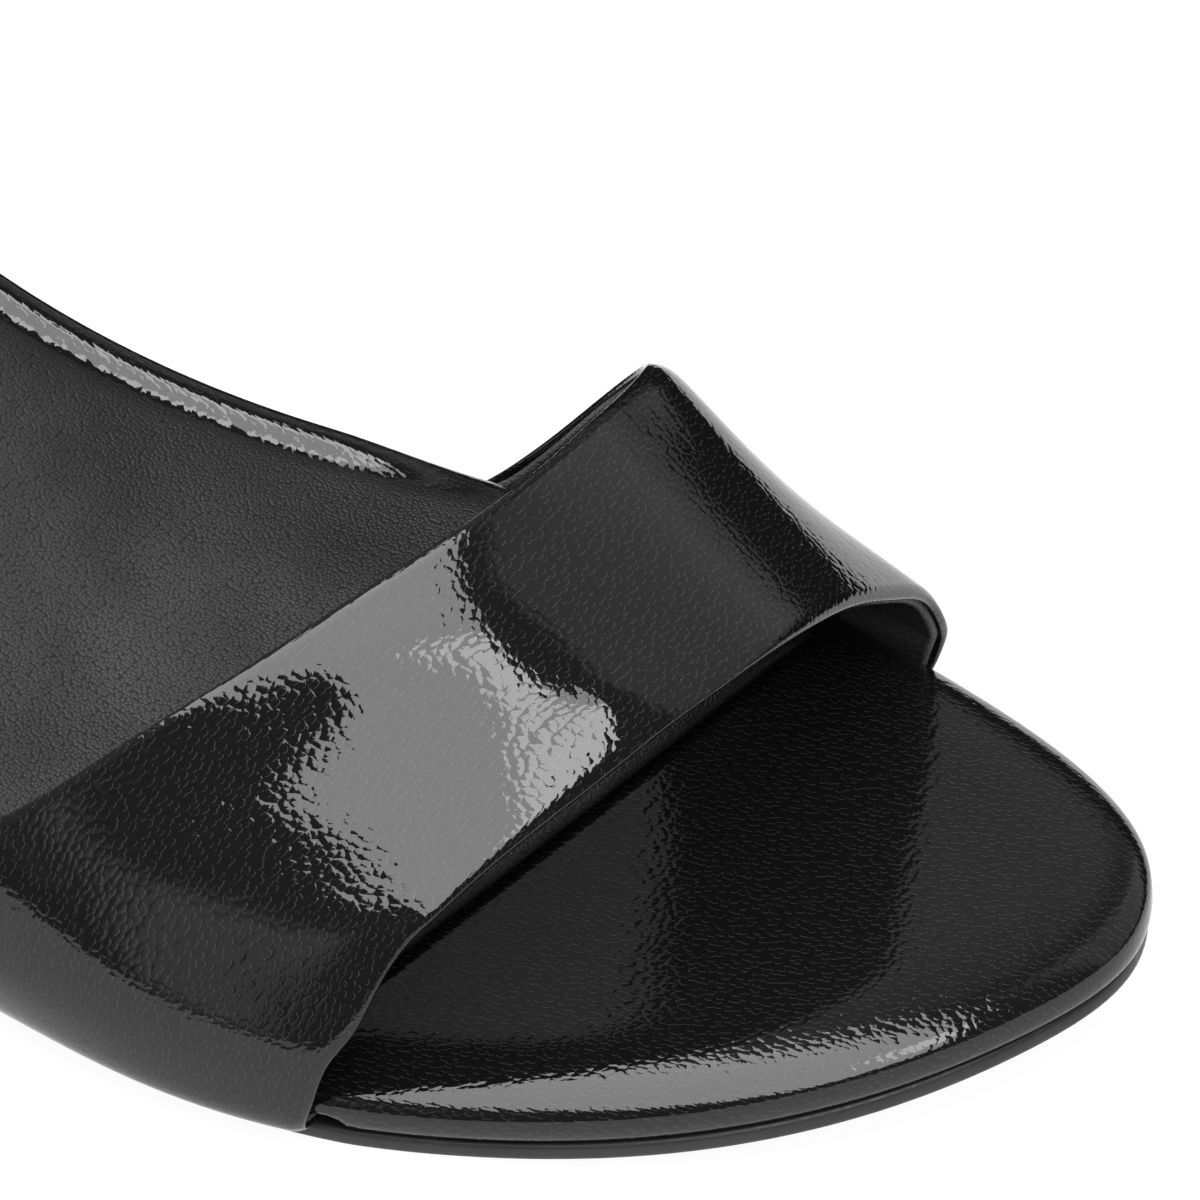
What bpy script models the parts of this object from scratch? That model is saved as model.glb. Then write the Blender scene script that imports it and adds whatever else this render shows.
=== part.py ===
"""Right heeled mule sandal: one wide strap over a wrapped insole, with a sock, an outsole, a heel and a tip.

Tables are in millimetres. Flat patterns are laid out along the bottom of the last: s runs from the centre of
the tread towards the toe, y towards the inner side of the foot, and h is the height above the bottom of the
insole. bend() wraps that flat space round the side profile of the last.
"""
import math
from collections import namedtuple

import bmesh
import bpy
import numpy as np

MM = 0.001

# Driving sizes
TOE_TIP_S = 69.7
TOE_TIP_Y = 5.2
SEAT_BACK_S = -172.0
SEAT_BACK_Y = 0.0
CLEARANCE = 0.3
FLAT_CLEARANCE = 0.1

# Insole: a rounded lower edge and a long soft shoulder on top
INSOLE_THICK = 5.0
EDGE_HEIGHT = 2.2
SHOULDER_WIDTH = 9.0
UNDER_ROUND = 0.8

# Outsole
OUTSOLE_THICK = 1.6
OUTSOLE_INSET = 0.5
OUTSOLE_ROUND = 0.5
TOE_TRIM = 0.7
TOE_TRIM_FROM_S = 42.0
BREAST_S = -124.0

# Sock
SOCK_THICK = 1.2
SOCK_INSET = 5.5
SOCK_LATERAL_FRONT_S = 16.4
SOCK_MEDIAL_FRONT_S = 26.1
SOCK_EDGE = 0.5

# Strap
WALL = 2.2
MARGIN = 12.0
MARGIN_THICK = 1.0
REBATE = MARGIN_THICK + CLEARANCE
REBATE_SPARE = 6.0
REBATE_RAMP = 3.0
REBATE_LIFT = 0.3
FOLD = 0.7
STRAP_ROWS = 46
STRAP_COLUMNS = 9

# Section of the strap's foot, from under the insole round to the wall: inset, height and thickness
Flange = namedtuple("Flange", "inset height thick")
FLANGE = (
    Flange(MARGIN, 0.0, MARGIN_THICK),
    Flange(0.5, 0.0, MARGIN_THICK),
    Flange(-1.0, 0.15, 1.3),
    Flange(-2.1, 1.2, 1.9),
)
WALL_FOOT = Flange(-CLEARANCE - WALL, 2.6, WALL)
WALL_TOP = Flange(-CLEARANCE - WALL, 4.4, WALL)
WALL_RISE_INSET = -1.9

# Heel
HEEL_INSET = 1.0
HEEL_PIVOT = 10.0
HEEL_RINGS = 11
HEEL_STEPS = 14
TIP_THICK = 5.0
TIP_ROUND = 0.4

# Mesh density
SIDE_STEPS = 56
ACROSS_STEPS = 4

FEATHER_Z = CLEARANCE + OUTSOLE_THICK

Width = namedtuple("Width", "s lateral medial")
WIDTHS = (
    Width(-166.0, 15.5, 15.5),
    Width(-156.0, 23.2, 23.2),
    Width(-140.0, 26.2, 26.0),
    Width(-120.0, 25.8, 24.8),
    Width(-98.0, 25.0, 21.8),
    Width(-76.0, 25.9, 20.2),
    Width(-53.0, 29.3, 20.9),
    Width(-31.0, 35.1, 26.0),
    Width(-15.0, 38.8, 31.2),
    Width(-5.0, 39.9, 33.8),
    Width(5.0, 40.0, 35.4),
    Width(15.0, 38.6, 35.3),
    Width(30.0, 33.8, 32.9),
    Width(45.5, 26.2, 28.4),
    Width(57.0, 17.3, 22.9),
    Width(66.2, 5.4, 14.7),
)

Pitch = namedtuple("Pitch", "s degrees")
PITCHES = (
    Pitch(-180.0, 10.0),
    Pitch(-156.0, 13.0),
    Pitch(-138.0, 22.0),
    Pitch(-116.0, 31.0),
    Pitch(-92.0, 33.0),
    Pitch(-68.0, 30.0),
    Pitch(-47.0, 25.0),
    Pitch(-31.0, 18.5),
    Pitch(-17.0, 9.5),
    Pitch(-5.0, 0.0),
    Pitch(15.0, 0.0),
    Pitch(30.0, -4.6),
    Pitch(46.0, -9.4),
    Pitch(75.0, -17.5),
)

# Where the strap's front and back edges meet the insole's edge, how far each runs forward per unit of height,
# and how high the strap stays upright there (no row of its own below the wall's top)
StrapFoot = namedtuple("StrapFoot", "front_s front_lean front_wall back_s back_lean back_wall")
LATERAL_FOOT = StrapFoot(19.5, 0.28, 8.5, -24.0, 0.85, 9.8)
MEDIAL_FOOT = StrapFoot(32.4, 0.34, 0.0, -10.7, 0.90, 0.0)

# Outer face of the strap over the foot, from the lateral side to the medial side, and how far it swells out
# midway between its edges
StrapRow = namedtuple("StrapRow", "front_x front_y front_z back_x back_y back_z swell")
SWELL_WAY = (0.0, -0.8, 0.6)
STRAP = (
    StrapRow(22.9, -37.2, 13.1, -12.2, -39.1, 17.9, 1.6),
    StrapRow(23.6, -35.0, 16.0, -9.0, -37.4, 21.0, 1.1),
    StrapRow(24.6, -31.5, 19.3, -2.2, -30.5, 26.7, 0.4),
    StrapRow(25.7, -29.6, 21.0, 3.7, -22.4, 30.9, 0.1),
    StrapRow(26.6, -27.5, 22.2, 8.5, -14.0, 34.2, 0.3),
    StrapRow(28.4, -23.0, 24.2, 11.6, -7.2, 35.9, 0.7),
    StrapRow(31.0, -16.3, 26.4, 13.3, -2.6, 36.7, 0.7),
    StrapRow(33.4, -8.5, 28.0, 14.2, 2.2, 36.9, 0.4),
    StrapRow(35.4, 3.1, 28.2, 13.9, 8.5, 35.8, 0.2),
    StrapRow(35.2, 13.2, 25.0, 13.2, 14.8, 34.3, 0.0),
    StrapRow(34.7, 20.6, 21.3, 11.9, 21.8, 31.8, 0.0),
    StrapRow(34.6, 27.3, 16.8, 9.6, 29.0, 28.4, 0.0),
    StrapRow(34.5, 31.6, 12.7, 6.0, 33.2, 23.3, 0.0),
    StrapRow(34.6, 33.6, 8.9, 0.3, 36.1, 15.2, 0.0),
)

# Heel sections from the floor up: share of the height, size against the seat, and shift towards the toe
HeelSection = namedtuple("HeelSection", "share width length forward")
HEEL = (
    HeelSection(0.00, 0.56, 0.52, 0.5),
    HeelSection(0.20, 0.56, 0.52, 0.8),
    HeelSection(0.45, 0.62, 0.58, 1.4),
    HeelSection(0.70, 0.76, 0.72, 1.4),
    HeelSection(0.88, 0.92, 0.90, 0.6),
    HeelSection(1.00, 1.00, 1.00, 0.0),
)

Look = namedtuple("Look", "colour roughness coat")
PATENT = Look((0.012, 0.012, 0.013), 0.12, 1.0)
NAPPA = Look((0.035, 0.035, 0.036), 0.60, 0.0)
SOLE = Look((0.020, 0.020, 0.020), 0.50, 0.0)
RUBBER = Look((0.018, 0.018, 0.018), 0.70, 0.0)


def smooth_table(xs, ys):
    """Cubic curve through a table that never overshoots, so level stretches stay level."""
    xs, ys = np.array(xs, float), np.array(ys, float)
    step = np.diff(xs)
    slope = np.diff(ys) / step
    tangent = np.zeros(len(xs))
    tangent[0], tangent[-1] = slope[0], slope[-1]
    for i in range(1, len(xs) - 1):
        if slope[i - 1] * slope[i] > 0:
            tangent[i] = 2 * slope[i - 1] * slope[i] / (slope[i - 1] + slope[i])

    def value(x):
        x = np.clip(x, xs[0], xs[-1])
        i = np.clip(np.searchsorted(xs, x) - 1, 0, len(step) - 1)
        u = (x - xs[i]) / step[i]
        return hermite(u, ys[i], ys[i + 1], tangent[i] * step[i], tangent[i + 1] * step[i])

    return value


def hermite(u, start, end, start_slope, end_slope):
    """Cubic between two ends with given slopes."""
    return (start * (1 + 2 * u) * (1 - u) ** 2 + start_slope * u * (1 - u) ** 2
            + end * u * u * (3 - 2 * u) + end_slope * u * u * (u - 1))


def spline(points, closed, fine=24):
    """Dense points on a cubic spline of continuous curvature through the given points."""
    p = np.array(points, float)
    if closed:
        p = np.vstack((p, p[:1]))
    n = len(p)
    step = np.linalg.norm(np.diff(p, axis=0), axis=1)
    rate = np.diff(p, axis=0) / step[:, None]
    left, right = np.zeros((n, n)), np.zeros_like(p)
    for i in range(1, n - 1):
        left[i, i - 1:i + 2] = step[i], 2 * (step[i - 1] + step[i]), step[i - 1]
        right[i] = 3 * (step[i] * rate[i - 1] + step[i - 1] * rate[i])
    if closed:
        left[0, [0, 1, n - 2]] = 2 * (step[-1] + step[0]), step[-1], step[0]
        right[0] = 3 * (step[0] * rate[-1] + step[-1] * rate[0])
        left[-1, [0, n - 1]] = 1, -1
    else:
        left[0, :2], right[0] = (2, 1), 3 * rate[0]
        left[-1, -2:], right[-1] = (1, 2), 3 * rate[-1]
    slopes = np.linalg.solve(left, right)
    u = np.linspace(0, 1, fine, endpoint=False)[:, None]
    parts = [hermite(u, p[i], p[i + 1], slopes[i] * step[i], slopes[i + 1] * step[i]) for i in range(n - 1)]
    return np.vstack(parts + [p[-1:]])


def resample(points, count):
    """The given number of evenly spaced points along a dense curve."""
    walked = np.concatenate(([0], np.cumsum(np.linalg.norm(np.diff(points, axis=0), axis=1))))
    even = np.linspace(0, walked[-1], count)
    return np.column_stack([np.interp(even, walked, axis) for axis in points.T])


def make_profile():
    """Side profile of the last's bottom: s, then x, z and pitch along it."""
    s = np.arange(-185.0, 90.0, 0.25)
    pitch = np.radians(smooth_table(*zip(*PITCHES))(s))
    middle = (pitch[1:] + pitch[:-1]) / 2
    x = np.concatenate(([0], np.cumsum(np.cos(middle) * np.diff(s))))
    z = np.concatenate(([0], np.cumsum(-np.sin(middle) * np.diff(s))))
    return s, x - np.interp(0, s, x), z - np.interp(0, s, z) + FEATHER_Z, pitch


PROFILE = make_profile()


def bend(s, y, h):
    """Flat pattern points wrapped round the side profile."""
    x, z, pitch = (np.interp(s, PROFILE[0], column) for column in PROFILE[1:])
    return np.column_stack((x + h * np.sin(pitch), y + 0 * x, z + h * np.cos(pitch)))


def make_outline():
    """Insole outline: lateral side from seat to toe tip, then the medial side back."""
    lateral = [(row.s, -row.lateral) for row in WIDTHS]
    medial = [(row.s, row.medial) for row in WIDTHS]
    ends = [(SEAT_BACK_S, SEAT_BACK_Y)], [(TOE_TIP_S, TOE_TIP_Y)]
    dense = spline(ends[0] + lateral + ends[1] + medial[::-1], True, 40)
    toe = int(np.argmax(dense[:, 0]))
    return dense[:toe + 1], dense[toe:][::-1]


LATERAL_SIDE, MEDIAL_SIDE = make_outline()


def offset_side(side, inset):
    """One side of the outline moved inwards."""
    outward = -1.0 if side is LATERAL_SIDE else 1.0
    along = np.gradient(side, axis=0)
    along[0], along[-1] = (0.0, outward), (0.0, -outward)
    along /= np.linalg.norm(along, axis=1)[:, None]
    normal = np.column_stack((-along[:, 1], along[:, 0])) * outward
    return side - normal * inset


def side_y(side, s, inset):
    """Where one side of the outline, moved inwards, crosses a station."""
    moved = offset_side(side, inset)
    return np.interp(s, moved[:, 0], moved[:, 1])


def depth(flat):
    """Distance of flat points from the insole's outline."""
    outline = np.vstack((LATERAL_SIDE, MEDIAL_SIDE))
    return np.array([np.sqrt(((outline - point) ** 2).sum(axis=1).min()) for point in flat])


def insole_top(flat):
    """Height of the insole's upper face, falling away over the soft shoulder."""
    short = 1 - np.clip(depth(flat) / SHOULDER_WIDTH, 0, 1)
    return EDGE_HEIGHT + (INSOLE_THICK - EDGE_HEIGHT) * np.sqrt(1 - short ** 2)


def pattern_grid(inset, steps, fronts=None, back_s=None):
    """Grid of flat points, rows from back to front and columns from the lateral to the medial side."""
    sides = []
    for i, side in enumerate((LATERAL_SIDE, MEDIAL_SIDE)):
        points = offset_side(side, inset)
        if fronts is not None:
            end = (fronts[i], side_y(side, fronts[i], inset))
            points = np.vstack((points[points[:, 0] < fronts[i]], end))
        if back_s is not None:
            points = np.vstack(((back_s, side_y(side, back_s, inset)), points[points[:, 0] > back_s]))
        sides.append(resample(points, steps + 1))
    share = np.linspace(0, 1, ACROSS_STEPS + 1)[None, :, None]
    return sides[0][:, None] * (1 - share) + sides[1][:, None] * share


def perimeter(grid):
    """Closed walk round the edge of a grid."""
    return np.concatenate((grid[:, 0], grid[-1, 1:-1], grid[::-1, -1], grid[0, -2:0:-1]))


class Mesh:
    """Points and faces of one piece while it is put together."""

    def __init__(self):
        self.points = []
        self.faces = []

    def add(self, points):
        """Indices of newly added points."""
        first = len(self.points)
        self.points.extend(np.asarray(points).tolist())
        return np.arange(first, len(self.points))

    def sheet(self, grid):
        """Quads over a grid of points."""
        rows, columns = grid.shape[:2]
        index = self.add(grid.reshape(-1, 3)).reshape(rows, columns)
        for i in range(rows - 1):
            for j in range(columns - 1):
                self.faces.append((index[i, j], index[i + 1, j], index[i + 1, j + 1], index[i, j + 1]))

    def tube(self, loops):
        """Quads between closed loops of the same length."""
        indices = [self.add(loop) for loop in loops]
        for one, two in zip(indices, indices[1:]):
            for i in range(len(one)):
                j = (i + 1) % len(one)
                self.faces.append((one[i], one[j], two[j], two[i]))
        return indices

    def finish(self, name, look):
        """Welded, outward-facing object of this piece, in metres."""
        data = bpy.data.meshes.new(name)
        faces = [tuple(int(i) for i in face) for face in self.faces]
        data.from_pydata([[c * MM for c in point] for point in self.points], [], faces)
        close_mesh(data)
        data.materials.append(make_material(name, look))
        thing = bpy.data.objects.new(name, data)
        bpy.context.scene.collection.objects.link(thing)
        return thing


def close_mesh(data):
    """Merge points that coincide, split faces into triangles and turn them outwards."""
    work = bmesh.new()
    work.from_mesh(data)
    bmesh.ops.remove_doubles(work, verts=work.verts, dist=2e-6)
    bmesh.ops.dissolve_degenerate(work, dist=2e-6, edges=work.edges)
    bmesh.ops.triangulate(work, faces=work.faces)
    bmesh.ops.recalc_face_normals(work, faces=work.faces)
    work.to_mesh(data)
    work.free()


def make_material(name, look):
    """Principled material of one piece."""
    material = bpy.data.materials.new(name)
    material.use_nodes = True
    shader = material.node_tree.nodes["Principled BSDF"]
    shader.inputs["Base Color"].default_value = (*look.colour, 1.0)
    shader.inputs["Roughness"].default_value = look.roughness
    shader.inputs["Coat Weight"].default_value = look.coat
    return material


def bent(flat, height):
    """Grid or loop of flat points wrapped round the profile at a height, fixed or worked out per point."""
    points = flat.reshape(-1, 2)
    h = height(points) if callable(height) else np.full(len(points), height)
    return bend(points[:, 0], points[:, 1], h).reshape(flat.shape[:-1] + (3,))


Level = namedtuple("Level", "inset height")


def trimmed(grid, toe_trim):
    """Flat grid drawn back towards the tip of the toe."""
    share = np.clip((grid[..., 0] - TOE_TRIM_FROM_S) / (TOE_TIP_S - TOE_TRIM_FROM_S), 0, 1)
    return np.stack((grid[..., 0] - toe_trim * share ** 2, grid[..., 1]), axis=-1)


def make_slab(name, look, levels, steps=SIDE_STEPS, fronts=None, back_s=None, toe_trim=0.0):
    """Closed sheet between a lowest and a highest level, with an edge that runs through the levels.

    fronts are the lateral and medial ends of a front edge that stops short of the toe.
    """
    grids = []
    for level in levels:
        trim = level.inset - min(one.inset for one in levels)
        ends = None if fronts is None else [front - trim for front in fronts]
        back = None if back_s is None else back_s + trim
        grids.append(trimmed(pattern_grid(level.inset, steps, ends, back), toe_trim))
    mesh = Mesh()
    mesh.sheet(bent(grids[0], levels[0].height))
    mesh.tube([bent(perimeter(grid), level.height) for grid, level in zip(grids, levels)])
    mesh.sheet(bent(grids[-1], levels[-1].height))
    return mesh.finish(name, look)


def strap_cover(flat):
    """How far a flat point lies inside the stretch of edge that the strap's feet pass under."""
    cover = np.zeros(len(flat))
    for i, (s, y) in enumerate(flat):
        foot = LATERAL_FOOT if y < 0 else MEDIAL_FOOT
        beyond = max(foot.back_s - REBATE_SPARE - s, s - foot.front_s - REBATE_SPARE)
        cover[i] = np.clip(1 - beyond / REBATE_RAMP, 0, 1)
    return cover


def under_strap(plain, lifted):
    """Height that rises from plain to lifted where the strap's feet pass."""
    return lambda flat: plain + (lifted - plain) * strap_cover(flat)


def make_insole():
    """Wrapped insole: rebated underneath for the strap's feet, rounded edge, soft shoulder, flat top."""
    levels = [
        Level(MARGIN + 2.5, 0.0),
        Level(MARGIN + 1.0, under_strap(0.0, REBATE)),
    ]
    for degrees in (90, 60, 30):
        round_over = math.radians(degrees)
        inset = UNDER_ROUND * (1 - math.cos(round_over))
        height = EDGE_HEIGHT * (1 - math.sin(round_over))
        lifted = REBATE + REBATE_LIFT * (1 - inset / UNDER_ROUND)
        levels.append(Level(inset, under_strap(height, max(height, lifted))))
    levels.append(Level(0.0, EDGE_HEIGHT))
    for degrees in (15, 30, 45, 60, 75, 90):
        inset = SHOULDER_WIDTH * (1 - math.cos(math.radians(degrees)))
        height = EDGE_HEIGHT + (INSOLE_THICK - EDGE_HEIGHT) * math.sin(math.radians(degrees))
        levels.append(Level(inset, height))
    return make_slab("insole", PATENT, levels)


def make_sock():
    """Lining pad on top of the insole, ending under the strap."""
    def over(rise):
        return lambda flat: insole_top(flat) + CLEARANCE + rise

    levels = [
        Level(SHOULDER_WIDTH, over(0.0)),
        Level(SOCK_INSET + SOCK_EDGE, over(0.0)),
        Level(SOCK_INSET, over(SOCK_THICK / 2)),
        Level(SOCK_INSET + SOCK_EDGE, over(SOCK_THICK)),
        Level(SHOULDER_WIDTH, over(SOCK_THICK)),
    ]
    fronts = (SOCK_LATERAL_FRONT_S, SOCK_MEDIAL_FRONT_S)
    return make_slab("sock", NAPPA, levels, SIDE_STEPS - 10, fronts)


def make_outsole():
    """Thin sole from the toe to the heel breast."""
    top, bottom = -CLEARANCE, -CLEARANCE - OUTSOLE_THICK
    inner = OUTSOLE_INSET + OUTSOLE_ROUND
    levels = [
        Level(inner, bottom),
        Level(OUTSOLE_INSET, bottom + OUTSOLE_ROUND),
        Level(OUTSOLE_INSET, top - OUTSOLE_ROUND / 2),
        Level(inner, top),
    ]
    return make_slab("outsole", SOLE, levels, SIDE_STEPS - 8, back_s=BREAST_S + CLEARANCE, toe_trim=TOE_TRIM)


def heel_section(seat, share):
    """Grid of the heel at a share of its height, scaled from the seat grid."""
    shares = [row.share for row in HEEL]
    width, length, forward = (smooth_table(shares, [row[i] for row in HEEL])(share) for i in (1, 2, 3))
    floor = TIP_THICK + FLAT_CLEARANCE
    pivot = seat[0, 0, 0] + HEEL_PIVOT
    section = seat.copy()
    section[..., 0] = pivot + (seat[..., 0] - pivot) * length + forward
    section[..., 1] = seat[..., 1] * width
    section[..., 2] = floor + (seat[..., 2] - floor) * share
    return section


def make_heel():
    """Covered heel from its tip up to the underside of the insole's seat."""
    seat = bent(pattern_grid(HEEL_INSET, HEEL_STEPS, (BREAST_S, BREAST_S)), -CLEARANCE)
    sections = [heel_section(seat, share) for share in np.linspace(0, 1, HEEL_RINGS)]
    mesh = Mesh()
    mesh.sheet(sections[0])
    mesh.tube([perimeter(section) for section in sections])
    mesh.sheet(sections[-1])
    return mesh.finish("heel", PATENT), sections[0]


def make_heel_tip(footprint):
    """Top piece under the heel, with its lower edge eased."""
    centre = footprint[..., :2].reshape(-1, 2).mean(axis=0)
    smaller = footprint.copy()
    reach = np.abs(footprint[..., :2] - centre).max(axis=(0, 1))
    smaller[..., :2] = centre + (footprint[..., :2] - centre) * (1 - TIP_ROUND / reach)
    at = {}
    rings = (("low", smaller, 0.0), ("eased", footprint, TIP_ROUND), ("top", footprint, TIP_THICK))
    for name, shape, height in rings:
        at[name] = shape.copy()
        at[name][..., 2] = height
    mesh = Mesh()
    mesh.sheet(at["low"])
    mesh.tube([perimeter(at[name]) for name in ("low", "eased", "top")])
    mesh.sheet(at["top"])
    return mesh.finish("heel_tip", RUBBER)


def foot_points(side, foot, share):
    """Points of the strap's outer face on one foot, from under the insole to the top of the wall."""
    rows = FLANGE + (WALL_FOOT, WALL_TOP)
    rise = foot.front_wall + (foot.back_wall - foot.front_wall) * share
    if rise > WALL_TOP.height:
        rows += (Flange(WALL_RISE_INSET, rise, WALL),)
    height = np.array([row.height for row in rows])
    lean = foot.front_lean + (foot.back_lean - foot.front_lean) * share
    s = foot.front_s + (foot.back_s - foot.front_s) * share + lean * height
    y = np.array([side_y(side, one, row.inset) for one, row in zip(s, rows)])
    return bend(s, y, height)


def strap_line(share):
    """Outer face of the strap across the foot, at a share of the way from its front to its back edge."""
    table = np.array(STRAP)
    over = table[:, :3] * (1 - share) + table[:, 3:6] * share
    over += table[:, 6:] * 4 * share * (1 - share) * np.array(SWELL_WAY)
    margin = len(FLANGE)
    lateral = foot_points(LATERAL_SIDE, LATERAL_FOOT, share)
    medial = foot_points(MEDIAL_SIDE, MEDIAL_FOOT, share)
    arch = resample(spline(np.vstack((lateral[margin:], over, medial[:margin - 1:-1])), False), STRAP_ROWS)
    return np.vstack((lateral[:margin], arch, medial[margin - 1::-1]))


def strap_thickness():
    """Thickness of each row of the strap."""
    foot = [row.thick for row in FLANGE]
    return np.array(foot + [WALL] * STRAP_ROWS + foot[::-1])


def unit(vectors):
    """Vectors of length one."""
    return vectors / np.linalg.norm(vectors, axis=-1, keepdims=True)


def make_upper():
    """Strap: outer face from the table, inner face one wall inside it, rounded folds at both edges."""
    outer = np.stack([strap_line(share) for share in np.linspace(0, 1, STRAP_COLUMNS)], axis=1)
    across, along = np.gradient(outer, axis=0), np.gradient(outer, axis=1)
    normal = unit(np.cross(across, along))
    inner = outer - normal * strap_thickness()[:, None, None]
    front = (outer[:, 0] + inner[:, 0]) / 2 - unit(along[:, 0]) * FOLD
    back = (outer[:, -1] + inner[:, -1]) / 2 + unit(along[:, -1]) * FOLD
    loops = [np.vstack((outer[i], back[i], inner[i, ::-1], front[i])) for i in range(len(outer))]
    mesh = Mesh()
    indices = mesh.tube(loops)
    mesh.faces.append(tuple(indices[0]))
    mesh.faces.append(tuple(indices[-1]))
    return mesh.finish("upper", PATENT)


def clear_scene():
    """Start from an empty scene."""
    for thing in list(bpy.data.objects):
        bpy.data.objects.remove(thing, do_unlink=True)


def stand_on_origin(pieces):
    """Hang the pieces on one empty that puts the middle of their box, at floor level, on the origin."""
    corners = np.array([vertex.co for piece in pieces for vertex in piece.data.vertices])
    low, high = corners.min(axis=0), corners.max(axis=0)
    shoe = bpy.data.objects.new("shoe", None)
    bpy.context.scene.collection.objects.link(shoe)
    shoe.location = (-(low[0] + high[0]) / 2, -(low[1] + high[1]) / 2, -low[2])
    for piece in pieces:
        piece.parent = shoe


clear_scene()
heel, heel_footprint = make_heel()
tip = make_heel_tip(heel_footprint)
stand_on_origin([make_outsole(), make_insole(), make_sock(), make_upper(), heel, tip])
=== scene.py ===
"""Looks of the right heeled mule sandal: patent strap, lining, insole, sock, outsole and heel.

Tables are in millimetres on the last: s runs from the centre of the tread towards the toe, y towards the
inner side of the foot, and h is the height above the bottom of the insole. bend() wraps that flat space
round the side profile.
"""
import math
from collections import namedtuple

import bmesh
import bpy
import numpy as np
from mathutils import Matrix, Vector


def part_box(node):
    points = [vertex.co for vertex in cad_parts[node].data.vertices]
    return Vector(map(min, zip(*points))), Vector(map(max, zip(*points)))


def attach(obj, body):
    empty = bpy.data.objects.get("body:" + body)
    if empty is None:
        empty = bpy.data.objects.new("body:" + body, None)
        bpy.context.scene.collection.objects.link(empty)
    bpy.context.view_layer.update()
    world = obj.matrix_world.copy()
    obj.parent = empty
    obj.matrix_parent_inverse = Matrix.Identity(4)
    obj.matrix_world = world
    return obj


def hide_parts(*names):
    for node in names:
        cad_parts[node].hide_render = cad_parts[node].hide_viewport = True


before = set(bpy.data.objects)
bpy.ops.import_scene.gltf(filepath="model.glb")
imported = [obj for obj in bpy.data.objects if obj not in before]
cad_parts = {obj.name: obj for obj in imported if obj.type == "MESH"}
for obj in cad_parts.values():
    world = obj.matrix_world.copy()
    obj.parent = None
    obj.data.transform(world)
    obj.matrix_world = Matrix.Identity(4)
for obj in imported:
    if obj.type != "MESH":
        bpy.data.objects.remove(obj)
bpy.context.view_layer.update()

MM = 0.001

# Photograph: viewing angles, scale at the tread centre and where that point lies in the 1200 x 1200 picture
AZIMUTH = math.radians(33.2)
ELEVATION = math.radians(41.7)
PIXELS_PER_MM = 12.393
TREAD_PIXEL = (356.9, 785.0)
PICTURE = 1200.0
DISTANCE = 1200.0
SENSOR = 36.0
CLIP_METRES = (0.05, 20.0)

# Driving sizes
TOE_TIP_S = 69.7
TOE_TIP_Y = 5.2
SEAT_BACK_S = -172.0
SEAT_BACK_Y = 0.0
CLEARANCE = 0.3
FLAT_CLEARANCE = 0.1

# Insole: a rounded lower edge and a long soft shoulder on top, with the degrees between their levels
INSOLE_THICK = 5.0
EDGE_HEIGHT = 2.2
SHOULDER_WIDTH = 9.0
UNDER_ROUND = 0.8
UNDER_DEGREES = 10
SHOULDER_DEGREES = 5

# Raised rim of the wrap behind the strap: height, how far in from the edge it is highest, half its width,
# and where it fades in on each side
RIM_RISE = 2.0
RIM_MIDDLE = 1.9
RIM_HALF = 3.3
RIM_LATERAL_S = (-38.0, -26.0)
RIM_MEDIAL_S = (-22.0, -2.0)

# Outsole
OUTSOLE_THICK = 1.6
OUTSOLE_INSET = 0.5
OUTSOLE_ROUND = 0.5
OUTSOLE_DEGREES = (0, 30, 60, 90)
OUTSOLE_FACE_INSET = 2.0
TOE_TRIM = 0.7
TOE_TRIM_FROM_S = 42.0
WAIST_TRIM = 1.3
WAIST_TRIM_S = (22.0, -2.0)
BREAST_S = -124.0

# Sock, with its edge from the lower to the upper face: inset from its outline and share of its thickness
SOCK_THICK = 1.2
SOCK_INSET = 5.5
SOCK_LATERAL_FRONT_S = 16.4
SOCK_MEDIAL_FRONT_S = 26.1
SockEdge = namedtuple("SockEdge", "inset share")
SOCK_EDGE = (
    SockEdge(0.5, 0.0),
    SockEdge(0.0, 0.3),
    SockEdge(0.1, 0.7),
    SockEdge(0.5, 0.96),
    SockEdge(2.0, 1.0),
)

# Strap, and the rebate under the insole that takes its feet
WALL = 2.2
MARGIN = 12.0
MARGIN_THICK = 1.0
REBATE = MARGIN_THICK + CLEARANCE
REBATE_START = MARGIN + 2.5
REBATE_FULL = MARGIN + 1.0
REBATE_SPARE = 1.2
REBATE_RAMP = 1.0
REBATE_LIFT = 0.3

# Section of the strap's foot, from under the insole round to the wall: inset, height and thickness
Flange = namedtuple("Flange", "inset height thick")
FLANGE = (
    Flange(MARGIN, 0.0, MARGIN_THICK),
    Flange(0.5, 0.0, MARGIN_THICK),
    Flange(-1.0, 0.15, 1.3),
    Flange(-2.1, 1.2, 1.9),
)
WALL_FOOT = Flange(-CLEARANCE - WALL, 2.6, WALL)
WALL_TOP = Flange(-CLEARANCE - WALL, 4.4, WALL)
WALL_RISE_INSET = -1.9

# Heel
HEEL_INSET = 1.0
HEEL_PIVOT = 10.0
HEEL_ROUND = 1.0
TIP_THICK = 5.0
TIP_ROUND = 0.4

# Mesh density
PROFILE_S = (-185.0, 90.0)
PROFILE_STEP = 0.25
OUTLINE_STEPS = 40
SPLINE_STEPS = 24
SIDE_STEPS = 230
PLACING_STEPS = 400
ACROSS_STEPS = 14
HEEL_STEPS = 60
HEEL_RINGS = 40
STRAP_ROWS = 330
STRAP_COLUMNS = 90
STRAP_CROWDING = 0.75
FOLD_STEPS = 8
FOLD_COLUMNS = 2
EASE_SEGMENTS = 4
EASE_DEGREES = 40
WELD = 0.0004

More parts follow.
